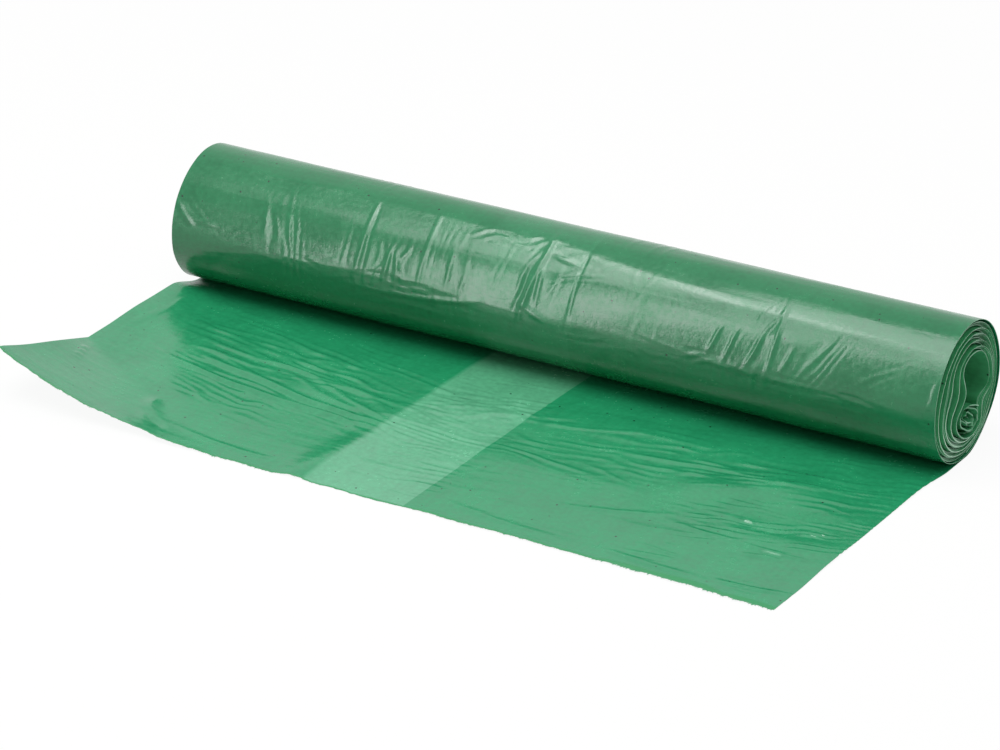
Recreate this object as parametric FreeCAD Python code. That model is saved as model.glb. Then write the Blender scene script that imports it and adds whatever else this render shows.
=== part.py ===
"""A coreless roll of green bin bags, lying on the floor with the end of the first bag drawn out in front.

The bags are one continuous web: a flat tube of film whose two sides are folded in, so that the web is
four films thick at its sides and two in a band near its middle. It was wound on a mandrel that was
drawn out again, and the core has caved in to two lobes. Each turn modelled inside the outermost one
stands for several real turns that lie pressed together.

Millimetres. X runs along the roll, the drawn-out end runs towards -Y and Z is up. The origin is on the
floor below the roll's axis, halfway along the roll.
"""
import FreeCAD
import Part

import math
import os

# The folded web, from its left edge to its right, and the end that is drawn out
LEFT_FOLD_WIDTH = 197.5
BAND_WIDTH = 62.5
RIGHT_FOLD_WIDTH = 220.0
FILM_THICKNESS = 0.07
DRAWN_OUT_LENGTH = 204.0

# The roll's outline: a circle that leans, sags and is pressed flat where it lies
ROLL_RADIUS = 39.0
LEAN = 1.3
SAG = 0.5
FLAT_SPOT_WIDTH = 14.0

# The turns between the outline and the caved-in core
TURN_COUNT = 6
OUTER_TURN_ROOM = 1.9
TURN_FILL = 0.64
THICKENING_TURNS = 0.35
THICKEST_TURN = 2.4
THINNING_TURNS = 0.45
CORE_RADIUS = 19.0
CORE_BEHIND = 9.5
CORE_BELOW = 2.5
FRONT_DENT_DEPTH = 12.0
FRONT_DENT_ANGLE = 162.0
FRONT_DENT_ASIDE = -2.0
FRONT_DENT_WIDTH = 8.5
BACK_DENT_DEPTH = 9.0
BACK_DENT_ANGLE = -40.0
BACK_DENT_ASIDE = 0.5
BACK_DENT_WIDTH = 7.5

# The web's own beginning, curled up in the lower lobe
CURL_LENGTH = 14.0
CURL_HEIGHT = 9.0
CURL_TURNS = 1.3
CURL_TIGHTENING = 0.55
CURL_THICKNESS = 0.9

# The front left corner, which bends up off the floor as part of a cone
CORNER_BEND_LENGTH = 88.0
CORNER_BEND_WIDTH = 158.0
CORNER_LIFT = 28.3

# The powers by which the dents, the core's drift and the corner's bend fade out
FADE_OF_DENTS = 2.4
FADE_OF_DRIFT = 1.4
FADE_OF_BEND = 2.2

# How finely the curves are followed
POINTS_PER_TURN = 72
CURL_POINTS_PER_TURN = 36
NEARBY_POINTS = 12
BEND_STEPS = 12

# How many films lie on each other at the folded sides and in the band between them
SIDE_FILMS = 4
BAND_FILMS = 2

SIDE_THICKNESS = SIDE_FILMS * FILM_THICKNESS
BAND_THICKNESS = BAND_FILMS * FILM_THICKNESS
WEB_WIDTH = LEFT_FOLD_WIDTH + BAND_WIDTH + RIGHT_FOLD_WIDTH
LEFT_EDGE = -WEB_WIDTH / 2
BAND_LEFT = LEFT_EDGE + LEFT_FOLD_WIDTH
HALF_FLAT = FLAT_SPOT_WIDTH / 2


def blend(low, high, share):
    """From low to high as share goes from 0 to 1, starting and ending gently."""
    share = min(max(share, 0.0), 1.0)
    return low + (high - low) * share * share * (3 - 2 * share)


def turned_by(turns):
    """The angle about the roll's axis after so many turns inwards from where the web leaves the floor."""
    return START_ANGLE + 2 * math.pi * turns


def outline_radius(angle):
    return ROLL_RADIUS + LEAN * math.sin(2 * angle) - SAG * math.sin(3 * angle)


def dented(y, z, share):
    """A point given from the core's middle, pushed in by the two dents of the core."""
    pushed_y, pushed_z = y, z
    for depth, angle, aside, width in (
        (FRONT_DENT_DEPTH, FRONT_DENT_ANGLE, FRONT_DENT_ASIDE, FRONT_DENT_WIDTH),
        (BACK_DENT_DEPTH, BACK_DENT_ANGLE, BACK_DENT_ASIDE, BACK_DENT_WIDTH),
    ):
        out_y, out_z = math.cos(math.radians(angle)), math.sin(math.radians(angle))
        along = y * out_y + z * out_z
        across = z * out_y - y * out_z - aside
        facing = max(along / math.hypot(y, z), 0.0)
        push = depth * share ** FADE_OF_DENTS * facing * math.exp(-((across / width) ** 2))
        pushed_y -= push * out_y
        pushed_z -= push * out_z
    return pushed_y, pushed_z


def depth_share(turns):
    """How far in towards the core the web lies after so many turns, from 0 to 1."""
    first = OUTER_TURN_ROOM / (ROLL_RADIUS - CORE_RADIUS)
    if turns <= 1:
        return first * turns
    return first + (1 - first) * (turns - 1) / (TURN_COUNT - 1)


STRAIGHT_DOWN = -math.pi / 2
START_ANGLE = STRAIGHT_DOWN + math.asin(HALF_FLAT / 2 / ROLL_RADIUS)
SPIRAL_TURNS = TURN_COUNT - (START_ANGLE - STRAIGHT_DOWN) / (2 * math.pi)
AXIS_HEIGHT = math.sqrt(outline_radius(STRAIGHT_DOWN) ** 2 - HALF_FLAT ** 2)


def web_point(turns):
    """The middle of the web's thickness, as (y, z), after so many turns inwards."""
    angle = turned_by(turns)
    share = depth_share(turns)
    radius = outline_radius(angle) * (1 - share) + CORE_RADIUS * share
    y, z = dented(radius * math.cos(angle), radius * math.sin(angle), share)
    drift = share ** FADE_OF_DRIFT
    y += CORE_BEHIND * drift
    z += AXIS_HEIGHT - CORE_BELOW * drift
    return y, max(z, 0.0) + SIDE_THICKNESS / 2


def free_way(turns, turns_away):
    """The least distance from a point of the web to another turn, which is so many turns away."""
    here_y, here_z = web_point(turns)
    distances = []
    for step in range(-NEARBY_POINTS, NEARBY_POINTS + 1):
        there = turns + turns_away + step / POINTS_PER_TURN / 2
        y, z = web_point(max(there, 0.0))
        distances.append(math.hypot(y - here_y, z - here_z))
    return min(distances)


def web_thickness(turns):
    """The outermost turn is the bare web; a turn further in stands for several real ones, and it thins out."""
    if turns < 1:
        return SIDE_THICKNESS
    room = free_way(turns, -1)
    if turns < TURN_COUNT - 1:
        room = min(room, free_way(turns, 1))
    thickness = blend(SIDE_THICKNESS, min(TURN_FILL * room, THICKEST_TURN), (turns - 1) / THICKENING_TURNS)
    return blend(CURL_THICKNESS, thickness, (SPIRAL_TURNS - turns) / THINNING_TURNS)


def curl_point(share):
    """The middle of the web where its beginning curls up, as (y, z), from the spiral's end inwards."""
    start_y, start_z = web_point(SPIRAL_TURNS)
    angle = STRAIGHT_DOWN + 2 * math.pi * CURL_TURNS * share
    tight = 1 - CURL_TIGHTENING * share
    middle_z = start_z + CURL_HEIGHT / 2
    return (
        start_y + CURL_LENGTH / 2 * tight * math.cos(angle),
        middle_z + CURL_HEIGHT / 2 * tight * math.sin(angle),
    )


def web_path():
    """The middle of the web as (y, z, thickness), from where it leaves the floor to its beginning."""
    path = []
    steps = round(SPIRAL_TURNS * POINTS_PER_TURN)
    for step in range(steps):
        turns = SPIRAL_TURNS * step / steps
        path.append((*web_point(turns), web_thickness(turns)))
    steps = round(CURL_TURNS * CURL_POINTS_PER_TURN)
    for step in range(steps + 1):
        path.append((*curl_point(step / steps), CURL_THICKNESS))
    return path


def web_sides():
    """The web's outer and inner side as lists of (y, z), from where it leaves the floor to its beginning."""
    path = web_path()
    outside = []
    inside = []
    for n, (y, z, thickness) in enumerate(path):
        before = path[max(n - 1, 0)]
        after = path[min(n + 1, len(path) - 1)]
        along_y = after[0] - before[0]
        along_z = after[1] - before[1] if n else 0.0
        offset = thickness / 2 / math.hypot(along_y, along_z)
        outside.append((y + along_z * offset, z - along_y * offset))
        inside.append((y - along_z * offset, z + along_y * offset))
    return outside, inside


def side_edges(points):
    """One side of the web: arcs along the outermost turn, then short straight steps inwards."""
    vertices = [FreeCAD.Vector(LEFT_EDGE, y, z) for y, z in points]
    outermost = vertices[:POINTS_PER_TURN + 1]
    inwards = vertices[POINTS_PER_TURN:]
    arcs = [Part.Arc(*through).toShape() for through in zip(outermost[::2], outermost[1::2], outermost[2::2])]
    return arcs + [Part.makeLine(*ends) for ends in zip(inwards, inwards[1:])]


def wound_web():
    """The spiral and the flat drawn-out end, as one section drawn out along the roll."""
    outside, inside = web_sides()
    front_low = FreeCAD.Vector(LEFT_EDGE, -DRAWN_OUT_LENGTH, 0)
    front_high = FreeCAD.Vector(LEFT_EDGE, -DRAWN_OUT_LENGTH, SIDE_THICKNESS)
    section = Part.Wire(Part.__sortEdges__([
        Part.makeLine(front_low, FreeCAD.Vector(LEFT_EDGE, *outside[0])),
        *side_edges(outside),
        Part.makeLine(FreeCAD.Vector(LEFT_EDGE, *outside[-1]), FreeCAD.Vector(LEFT_EDGE, *inside[-1])),
        *side_edges(inside),
        Part.makeLine(FreeCAD.Vector(LEFT_EDGE, *inside[0]), front_high),
        Part.makeLine(front_high, front_low),
    ]))
    return Part.Face(section).extrude(FreeCAD.Vector(WEB_WIDTH, 0, 0))


def band_groove():
    """What the drawn-out end lacks along the band in front of the roll, where no side is folded over it."""
    return Part.makeBox(
        BAND_WIDTH,
        DRAWN_OUT_LENGTH - HALF_FLAT,
        SIDE_THICKNESS - BAND_THICKNESS,
        FreeCAD.Vector(BAND_LEFT, -DRAWN_OUT_LENGTH, BAND_THICKNESS),
    )


def corner_plate():
    """The flat rectangle of the drawn-out end that the bent corner takes the place of."""
    return Part.makeBox(
        CORNER_BEND_WIDTH,
        CORNER_BEND_LENGTH,
        SIDE_THICKNESS,
        FreeCAD.Vector(LEFT_EDGE, -DRAWN_OUT_LENGTH, 0),
    )


def bent_point(across, forward):
    """Where the film's underside goes that lay so far from the left edge and in front of the bend's tip."""
    height = 0.0
    if forward > 0:
        slant = across / forward * CORNER_BEND_LENGTH / CORNER_BEND_WIDTH
        height = CORNER_LIFT * forward / CORNER_BEND_LENGTH * max(1 - slant, 0.0) ** FADE_OF_BEND
    tip = CORNER_BEND_LENGTH - DRAWN_OUT_LENGTH
    return FreeCAD.Vector(LEFT_EDGE + across, tip - math.sqrt(forward ** 2 - height ** 2), height)


def bent_corner():
    poles = [
        [
            bent_point(CORNER_BEND_WIDTH * i / BEND_STEPS, CORNER_BEND_LENGTH * j / BEND_STEPS)
            for j in range(BEND_STEPS + 1)
        ]
        for i in range(BEND_STEPS + 1)
    ]
    knots = list(range(BEND_STEPS - 1))
    mults = [4] + [1] * (BEND_STEPS - 3) + [4]
    underside = Part.BSplineSurface()
    underside.buildFromPolesMultsKnots(poles, mults, mults, knots, knots, False, False, 3, 3)
    return underside.toShape().extrude(FreeCAD.Vector(0, 0, SIDE_THICKNESS))


def main():
    os.makedirs("parts", exist_ok=True)
    roll = wound_web().cut([band_groove(), corner_plate()]).fuse(bent_corner()).removeSplitter()
    roll = roll.Solids[0] if len(roll.Solids) == 1 else roll
    roll.exportStep("parts/bag_roll.step")
    print("bag_roll", roll.ShapeType, roll.isValid(), round(roll.Volume), roll.BoundBox)


main()
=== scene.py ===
"""A coreless roll of green bin bags on a pale floor, with the end of the first bag drawn out in front.

Metres. X runs along the roll, the drawn-out end runs towards -Y and Z is up. The web of folded film goes
from its torn front edge over the floor, under the roll, up its back and over its top, and then inwards, turn
by turn.
"""

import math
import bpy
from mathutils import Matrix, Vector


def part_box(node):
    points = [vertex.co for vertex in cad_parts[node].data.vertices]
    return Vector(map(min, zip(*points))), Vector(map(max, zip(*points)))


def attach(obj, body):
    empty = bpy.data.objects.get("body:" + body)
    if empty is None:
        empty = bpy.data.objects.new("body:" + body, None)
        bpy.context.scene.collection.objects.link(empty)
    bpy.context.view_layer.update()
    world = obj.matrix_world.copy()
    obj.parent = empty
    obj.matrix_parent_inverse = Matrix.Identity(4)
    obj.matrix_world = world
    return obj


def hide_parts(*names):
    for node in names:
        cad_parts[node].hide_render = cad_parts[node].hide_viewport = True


bl_info = {
    "name": "Bin bag roll",
    "version": (1, 0, 0),
    "blender": (4, 5, 0),
    "location": "View3D > Sidebar > Bag roll",
    "description": "Builds the film of a roll of bin bags, its torn edge and its stage",
    "category": "Add Mesh",
}

import bmesh
import bpy
import numpy as np
from mathutils import Matrix, Vector

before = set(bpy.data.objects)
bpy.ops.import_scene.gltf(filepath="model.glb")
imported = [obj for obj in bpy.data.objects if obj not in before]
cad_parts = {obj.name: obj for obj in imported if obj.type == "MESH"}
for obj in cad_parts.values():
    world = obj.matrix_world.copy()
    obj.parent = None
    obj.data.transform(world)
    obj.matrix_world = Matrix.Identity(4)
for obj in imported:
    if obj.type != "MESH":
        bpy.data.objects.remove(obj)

MM = 0.001
LOW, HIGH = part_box("bag_roll")
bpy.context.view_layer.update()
STRAIGHT_DOWN = -math.pi / 2
SHARP_ANGLE = math.radians(50)


def linear(code):
    """The linear colour of an sRGB hex value such as #1C9660."""
    parts = [int(code[n:n + 2], 16) / 255 for n in (1, 3, 5)]
    return tuple(p / 12.92 if p <= 0.04045 else ((p + 0.055) / 1.055) ** 2.4 for p in parts)


def length(name, description, default):
    return bpy.props.FloatProperty(
        name=name, description=description, default=default, subtype="DISTANCE", unit="LENGTH", precision=5
    )


def share_of_one(name, description, default):
    return bpy.props.FloatProperty(
        name=name, description=description, default=default, min=0, max=1, subtype="FACTOR"
    )


def colour(name, description, code):
    return bpy.props.FloatVectorProperty(
        name=name, description=description, default=linear(code), size=3, min=0, max=1, subtype="COLOR"
    )


def brightness(name, description, default):
    return bpy.props.FloatProperty(name=name, description=description, default=default, min=0)


class WebSizes(bpy.types.PropertyGroup):
    """The folded web and how it is wound."""

    width: length("Width", "From one folded side of the web to the other", HIGH.x - LOW.x)
    drawn_out: length("Drawn-out length", "From below the roll's axis to the torn edge", -LOW.y)
    left_fold: length("Left fold", "Width of the left side that is folded in", 197.5 * MM)
    band: length("Band", "Width of the band where only two films lie on each other", 62.5 * MM)
    film: length("Film", "Thickness of one film", 0.07 * MM)
    radius: length("Roll radius", "Mean radius of the roll's outline", 39 * MM)
    lean: length("Lean", "How far the outline leans out of round", 1.3 * MM)
    sag: length("Sag", "How far the outline sags to three corners", 0.5 * MM)
    flat_spot: length("Flat spot", "Width that the roll is pressed flat on the floor", 14 * MM)
    outer_room: length("Outer room", "How far the outermost turn comes in on its way round", 1.9 * MM)
    core_radius: length("Core radius", "Radius of the core before its dents", 23.5 * MM)
    core_behind: length("Core behind", "How far behind the roll's axis the core lies", 9.5 * MM)
    core_below: length("Core below", "How far below the roll's axis the core lies", 5.5 * MM)
    turns: bpy.props.IntProperty(name="Turns", description="Thin turns inside the outermost", default=32)
    bundles: bpy.props.IntProperty(name="Bundles", description="Bundles that the turns lie in", default=5)
    corner_back: length("Corner bend back", "How far back the front corner bends up", 88 * MM)
    corner_across: length("Corner bend across", "How far across the front corner bends up", 158 * MM)
    corner_lift: length("Corner lift", "How high the tip of the front corner stands", 28.3 * MM)
    curl_length: length("Curl length", "Half the length of the curled beginning of the web", 14.5 * MM)
    curl_height: length("Curl height", "Half the height of the curled beginning of the web", 9.0 * MM)


class FilmLook(bpy.types.PropertyGroup):
    """Colours and finish of the film."""

    body: colour("Film", "Four films of green polyethylene, over a pale floor", "#249463")
    wound: colour("Wound film", "Many films of green polyethylene on each other", "#15784A")
    # The inner film is painted paler than the wound film: painted light for the light that comes through the
    # turns
    inner: colour("Inner film", "Films of the inner turns, which light comes through", "#4BA872")
    thin: colour("Thin band", "Two films, through which the pale floor shows", "#5BAD84")
    fold: colour("Fold edge", "Where a folded edge of film is seen end on", "#56A67C")
    # Cut edges are mottled towards this colour; on the outermost turn of each bundle it is a painted highlight
    cut: colour("Cut edge", "Edges of the film at the ends of the roll", "#B4DFC2")
    torn: colour("Torn edge", "Stretched film at the perforation that was torn", "#279459")
    speck: colour("Specks", "Dark specks of recycled plastic", "#0C3020")
    roughness: share_of_one("Roughness", "Roughness of the film", 0.19)
    speck_cell: length("Speck cells", "Size of the cells that hold one larger speck each", 11 * MM)
    grain: length("Grain", "Size of the finest unevenness of the film", 1.1 * MM)


class StageLook(bpy.types.PropertyGroup):
    """Floor, lights and backdrop."""

    floor: colour("Floor", "Colour of the floor and the backdrop", "#F6F6F4")
    ambient: share_of_one("Ambient", "Light that comes from all round", 0.6)
    top_power: brightness("Top", "Power of the soft lamp overhead, in watts", 13)
    panel_glow: brightness("Panel glow", "Brightness of the panels that the film's gloss shows", 1)


def add(tree, kind, inputs=None, **settings):
    """A new node with its settings and its inputs: values, sockets, or nodes whose first output is linked."""
    node = tree.nodes.new(kind)
    for name, value in settings.items():
        setattr(node, name, value)
    for key, value in (inputs or {}).items():
        if isinstance(value, bpy.types.Node):
            value = value.outputs[0]
        if isinstance(value, bpy.types.NodeSocket):
            tree.links.new(value, node.inputs[key])
        else:
            node.inputs[key].default_value = value
    return node


def soft_noise(u, v, seed):
    """Smooth noise from -1 to 1 whose cells are one unit wide."""
    cells = 64
    lattice = np.random.default_rng(seed).uniform(-1, 1, (cells, cells))
    left, low = np.floor(u).astype(int), np.floor(v).astype(int)
    across, up = u - left, v - low
    across, up = across * across * (3 - 2 * across), up * up * (3 - 2 * up)
    right, high = (left + 1) % cells, (low + 1) % cells
    left, low = left % cells, low % cells
    near = lattice[left, low] * (1 - across) + lattice[right, low] * across
    far = lattice[left, high] * (1 - across) + lattice[right, high] * across
    return near * (1 - up) + far * up


def ramp(values, start, end):
    """From 0 at start to 1 at end, starting and ending gently."""
    share = np.clip((values - start) / (end - start), 0, 1)
    return share * share * (3 - 2 * share)


def wave_field(u, v, roundness, centre, reach, spacing, slant, height, seed):
    """Ripples of pulled film: crests that wander, in a patch that fades out on all sides."""
    turn = math.radians(slant)
    along = (u - centre[0]) * math.cos(turn) + (v - centre[1]) * math.sin(turn)
    across = (v - centre[1]) * math.cos(turn) - (u - centre[0]) * math.sin(turn)
    window = np.exp(-((along / reach[0]) ** 4) - (across / reach[1]) ** 4)
    # The crests wander by up to one and a half spacings, and come and go along their way
    wander = 0.9 * soft_noise(along / (9 * spacing), across / (3 * spacing), seed)
    wander += 0.6 * soft_noise(along / (3 * spacing), across / (2 * spacing), seed + 1)
    crest = 1 - np.abs(np.sin(math.pi * (across / spacing + wander))) ** roundness
    strength = ramp(soft_noise(along / (5 * spacing), across / (1.2 * spacing), seed + 2), -0.45, 0.75)
    return height * window * strength * (crest ** 1.6 - 0.3)


def crease_line(u, v, centre, reach, slant, height):
    """One crease: a narrow ridge, or a groove where the height is negative."""
    turn = math.radians(slant)
    along = (u - centre[0]) * math.cos(turn) + (v - centre[1]) * math.sin(turn)
    across = (v - centre[1]) * math.cos(turn) - (u - centre[0]) * math.sin(turn)
    bow = across - 0.06 * reach[0] * (along / reach[0]) ** 2
    return height * np.exp(-((along / reach[0]) ** 4) - (bow / reach[1]) ** 2)


# Patches of ripples on the drawn-out end, in millimetres: middle, half length and half width, spacing, slant
# in degrees, height and seed
FLAT_RIPPLES = (
    ((-118, -98), (84, 30), 9.0, -13, 0.85, 11),
    ((-105, -62), (95, 24), 6.5, -14, 0.5, 12),
    ((-70, -90), (60, 44), 5.8, -10, 0.45, 13),
    ((-150, -120), (60, 30), 5.0, -16, 0.4, 21),
    ((-12, -70), (36, 32), 5.0, 14, 0.6, 14),
    ((0, -80), (34, 20), 7.0, 34, 0.7, 24),
    ((-10, -118), (36, 60), 5.5, -4, 0.5, 15),
    ((-5, -165), (34, 34), 6.0, 8, 0.3, 25),
    ((70, -82), (50, 30), 7.0, 12, 0.6, 16),
    ((160, -70), (84, 34), 6.0, 14, 0.85, 17),
    ((196, -118), (48, 44), 4.8, 16, 1.25, 18),
    ((90, -135), (16, 16), 5.0, 30, 0.4, 19),
    ((130, -150), (110, 30), 8.0, 8, 0.3, 20),
    ((60, -112), (40, 20), 7.5, -6, 0.5, 22),
    ((190, -185), (50, 16), 7.0, 6, 0.5, 23),
)

# Broad swells of the same sheet: middle, half length and half width, slant in degrees, height
FLAT_SWELLS = (
    ((165, -92), (38, 16), 30, 2.6),
    ((60, -130), (46, 14), -4, 0.9),
    ((-70, -112), (50, 14), -10, 1.4),
    ((-150, -100), (50, 16), -20, 1.2),
    ((-10, -84), (30, 12), 8, 1.0),
    ((110, -60), (60, 12), 6, 1.2),
    ((205, -140), (36, 12), 12, 1.2),
    ((-43, -170), (38, 9), 84, 1.8),
)

# Single creases of the drawn-out end: middle, half length and width, slant in degrees, height
FLAT_CREASES = (
    ((-120, -126), (69, 2.2), -8, 1.1),
    ((-108, -118), (64, 2.0), -11, 0.8),
    ((-110, -93), (66, 2.4), -10, 0.9),
    ((-181, -70), (30, 1.8), -16, 0.7),
    ((-124, -66), (40, 1.8), -12, 0.6),
    ((-139, -108), (29, 1.6), -19, 0.7),
    ((-107, -85), (30, 1.5), -13, 0.6),
    ((-146, -146), (9, 1.0), -34, 0.6),
    ((-158, -176), (15, 4.5), -58, 1.3),
    ((-150, -186), (13, 3.0), -36, -0.8),
    ((-229, -139), (15, 0.9), -72, 0.9),
    ((-225, -60), (26, 1.2), 84, 0.6),
    ((-100, -190), (30, 2.0), -6, 0.5),
    ((136, -81), (52, 2.0), 12, 0.8),
    ((168, -84), (64, 1.8), 15, 0.7),
    ((188, -64), (43, 2.0), 10, 0.6),
    ((56, -73), (30, 2.0), 16, 0.6),
    ((26, -62), (20, 1.5), 58, 0.4),
    ((150, -158), (24, 2.4), 10, 0.25),
    ((120, -150), (30, 1.8), 20, 0.4),
    ((190, -152), (40, 1.5), -3, 0.5),
    ((196, -168), (14, 1.2), 62, 0.4),
    ((70, -192), (30, 2.4), -5, 0.4),
    ((160, -195), (24, 2.4), -3, 0.5),
    ((215, -192), (16, 1.6), 4, 0.7),
)

# Patches of wrinkles on the outermost turn, in millimetres: the second coordinate is the way up round the
# roll from its foremost line
WOUND_RIPPLES = (
    ((-165, 18), (24, 13), 4.6, 98, 0.6, 31),
    ((-118, 18), (18, 16), 5.4, 90, 0.4, 32),
    ((-92, 14), (14, 12), 4.2, 84, 0.5, 33),
    ((-58, 16), (24, 15), 5.2, 94, 0.3, 34),
    ((-5, 26), (16, 24), 6.0, 80, 0.55, 35),
    ((18, 36), (20, 12), 5.0, 20, 0.4, 43),
    ((60, 20), (40, 16), 6.0, 84, 0.15, 44),
    ((130, 14), (30, 10), 3.8, 76, 0.6, 36),
    ((170, 14), (20, 10), 4.4, 64, 0.4, 45),
    ((-60, 1), (160, 6), 4.4, -2, 0.5, 37),
    ((150, -1), (110, 7), 4.8, -3, 0.5, 38),
    ((-150, -4), (90, 8), 5.0, 6, 0.35, 46),
    ((206, 12), (26, 12), 4.6, 30, 0.18, 39),
    ((-20, 47), (70, 7), 6.0, 8, 0.55, 40),
    ((-216, 12), (20, 14), 5.4, -25, 0.45, 41),
    ((60, -14), (180, 8), 7.0, -2, 0.3, 47),
    ((-130, 118), (60, 24), 6.0, 86, 0.4, 54),
    ((40, 104), (60, 20), 7.0, 94, 0.35, 55),
    ((165, 122), (50, 24), 5.5, 82, 0.4, 56),
)

# Broad swells of the outermost turn, as on the drawn-out end
WOUND_SWELLS = (
    ((-60, 50), (180, 5), 1, 0.35),
    ((90, 40), (150, 5), -4, 0.5),
    ((-30, 2), (60, 5), -2, 0.35),
    ((90, 0), (70, 5), 2, 0.4),
    ((190, -6), (60, 6), -3, 0.4),
    ((-160, 0), (60, 5), 5, 0.35),
    ((-20, -20), (200, 7), 1, 0.3),
    ((-60, 128), (150, 7), 2, 0.5),
    ((110, 112), (120, 6), -3, 0.45),
    ((-150, 96), (70, 6), 4, 0.4),
)

# Single creases of the outermost turn
WOUND_CREASES = (
    ((-172, 20), (9, 0.9), 112, 0.5),
    ((-180, 22), (10, 0.9), 100, 0.45),
    ((-163, 18), (9, 0.9), 106, 0.4),
    ((-115, 27), (24, 1.0), 90, 0.45),
    ((-112, 22), (20, 0.9), 92, -0.35),
    ((-97, 12), (9, 1.1), 86, 0.6),
    ((-91, 12), (8, 1.0), 100, 0.5),
    ((-75, 27), (26, 0.8), 90, 0.3),
    ((-58, 20), (14, 0.9), 92, 0.3),
    ((-6, 26), (25, 1.3), 83, 0.75),
    ((-11, 18), (14, 1.2), 80, -0.55),
    ((-2, 22), (12, 1.1), 96, 0.4),
    ((8, 39), (10, 1.3), -12, 0.5),
    ((-2, 4), (12, 1.6), -24, 0.6),
    ((20, 26), (30, 0.7), 90, -0.35),
    ((108, 14), (8, 0.9), 72, 0.5),
    ((118, 13), (8, 0.9), 76, 0.5),
    ((143, 22), (22, 0.9), 88, 0.5),
    ((132, 12), (9, 1.0), 70, 0.5),
    ((152, 12), (7, 0.9), 70, 0.4),
    ((-160, 50), (80, 1.3), 2, 0.5),
    ((-80, -3), (40, 1.2), 5, 0.45),
    ((-55, -1), (18, 1.1), 9, 0.5),
    ((120, 1), (55, 1.3), -3, 0.4),
    ((-233, 13), (8, 1.2), -42, 0.7),
    ((-222, 11), (10, 1.1), -10, 0.4),
    ((237.5, 11), (7, 1.3), 82, 0.3),
)


def in_metres(patch):
    """A patch of ripples or a crease with its lengths in metres."""
    centre, reach, *rest = patch
    scaled = [tuple(value * MM for value in centre), tuple(value * MM for value in reach)]
    if len(rest) == 2:
        slant, height = rest
        return (*scaled, slant, height * MM)
    spacing, slant, height, seed = rest
    return (*scaled, spacing * MM, slant, height * MM, seed)


# How round the ripples' crests are: on the sheet that lies loose, and on the film that is wound tight
BROAD_CRESTS = 1.6
SHARP_CRESTS = 1.0


def relief(u, v, ripples, creases, roundness):
    """How far the film stands out of its plain shape, from its ripples and creases together."""
    total = np.zeros_like(u)
    for patch in ripples:
        total += wave_field(u, v, roundness, *in_metres(patch))
    for crease in creases:
        total += crease_line(u, v, *in_metres(crease))
    return total


def outline_radius(web, angle):
    return web.radius + web.lean * np.sin(2 * angle) - web.sag * np.sin(3 * angle)


def start_angle(web):
    return STRAIGHT_DOWN + math.asin(web.flat_spot / 4 / web.radius)


def axis_height(web):
    return math.sqrt(float(outline_radius(web, STRAIGHT_DOWN)) ** 2 - (web.flat_spot / 2) ** 2)


# The two dents of the core: depth, direction from the core's middle, place aside of it, and width
CORE_DENTS = ((14.5 * MM, 163, 0, 12 * MM), (12 * MM, -31, 0, 7.5 * MM))
FADE_OF_DENTS = 2.4
FADE_OF_DRIFT = 1.4
FADE_OF_BEND = 2.2


def wound_point(web, turned, share):
    """The middle of the web, as y and z, at an angle about the axis and a share of the way in to the core."""
    radius = outline_radius(web, turned) * (1 - share) + web.core_radius * share
    y, z = radius * np.cos(turned), radius * np.sin(turned)
    pushed_y, pushed_z = y.copy(), z.copy()
    for depth, direction, aside, width in CORE_DENTS:
        out_y, out_z = math.cos(math.radians(direction)), math.sin(math.radians(direction))
        along = y * out_y + z * out_z
        across = z * out_y - y * out_z - aside
        facing = np.maximum(along / np.hypot(y, z), 0)
        push = depth * share ** FADE_OF_DENTS * facing * np.exp(-((across / width) ** 2))
        pushed_y -= push * out_y
        pushed_z -= push * out_z
    drift = share ** FADE_OF_DRIFT
    pushed_y += web.core_behind * drift
    pushed_z += axis_height(web) - web.core_below * drift
    return pushed_y, np.maximum(pushed_z, 0) + 2 * web.film


def in_scene(name, data):
    """A new object in the scene, made from a mesh, a lamp or a camera."""
    made = bpy.data.objects.new(name, data)
    bpy.context.scene.collection.objects.link(made)
    return made


def film_shell(name, under, over, materials, torn=None):
    """A closed shell of film between two grids of points of the same size."""
    rows, columns = under.shape[:2]
    index = np.arange(rows * columns).reshape(rows, columns)
    corners = (index[:-1, :-1], index[1:, :-1], index[1:, 1:], index[:-1, 1:])
    below = np.stack(corners, -1).reshape(-1, 4)
    above = below[:, ::-1] + rows * columns
    border = np.concatenate([index[:-1, 0], index[-1, :-1], index[:0:-1, -1], index[0, :0:-1]])
    after = np.roll(border, -1)
    rim = np.stack([border, border + rows * columns, after + rows * columns, after], -1)
    points = np.concatenate([under.reshape(-1, 3), over.reshape(-1, 3)])
    mesh = bpy.data.meshes.new(name)
    mesh.from_pydata(points.tolist(), [], np.concatenate([below, above, rim]).tolist())
    if torn is not None:
        layer = mesh.attributes.new("torn", "FLOAT", "POINT")
        layer.data.foreach_set("value", np.concatenate([torn.ravel(), torn.ravel()]).astype(np.float32))
    slots = np.zeros(len(mesh.polygons), np.int32)
    slots[2 * len(below):] = len(materials) - 1
    for material in materials:
        mesh.materials.append(material)
    mesh.polygons.foreach_set("material_index", slots)
    return finished(name, mesh)


def finished(name, mesh):
    """A smooth-shaded object of a closed mesh, with its faces turned outwards."""
    shape = bmesh.new()
    shape.from_mesh(mesh)
    if shape.calc_volume(signed=True) < 0:
        bmesh.ops.reverse_faces(shape, faces=shape.faces)
    shape.to_mesh(mesh)
    shape.free()
    mesh.polygons.foreach_set("use_smooth", [True] * len(mesh.polygons))
    mesh.set_sharp_from_angle(angle=SHARP_ANGLE)
    mesh.validate()
    return in_scene(name, mesh)


def seat(piece):
    """The piece rides on the roll's body and stands for the plain solid, which is hidden."""
    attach(piece, "root")
    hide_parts("bag_roll")


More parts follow.
